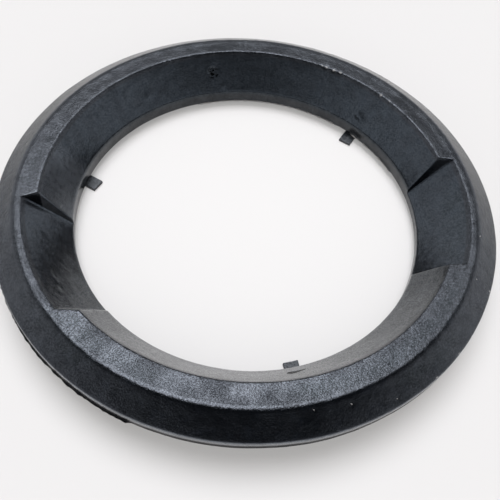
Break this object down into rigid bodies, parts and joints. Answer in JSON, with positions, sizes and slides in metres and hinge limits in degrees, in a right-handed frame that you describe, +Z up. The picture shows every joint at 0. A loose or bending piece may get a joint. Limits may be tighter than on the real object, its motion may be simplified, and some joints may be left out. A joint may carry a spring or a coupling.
{
  "type": "cast iron wok ring",
  "caption": "Black cast-iron wok ring for a gas range: wide skirt, flat top land, steep conical seat with lower pits in it, and flat tabs under the edge of the bore.",
  "frame": {"origin": "on the ring's axis, in the plane that the undersides of the tabs stand on", "axes": "+Z up along the ring's axis, out of the side a wok sits in; -Y towards the front land, between the pits; +X towards the right-hand pit"},
  "size_m": [0.43, 0.43, 0.0515],
  "materials": {
    "painted_cast_iron": "semi-gloss black paint over a sand-cast skin",
    "painted_steel": "thin dull black paint over sheared steel flat",
    "weld_metal": "rippled weld bead under thin black paint"
  },
  "bodies": {
    "root": {"ring_casting": "painted_cast_iron", "rear_tab": "painted_steel", "left_tab": "painted_steel", "front_tab": "painted_steel", "rear_tab_weld": "weld_metal", "left_tab_weld": "weld_metal", "front_tab_weld": "weld_metal"}
  },
  "joints": []
}
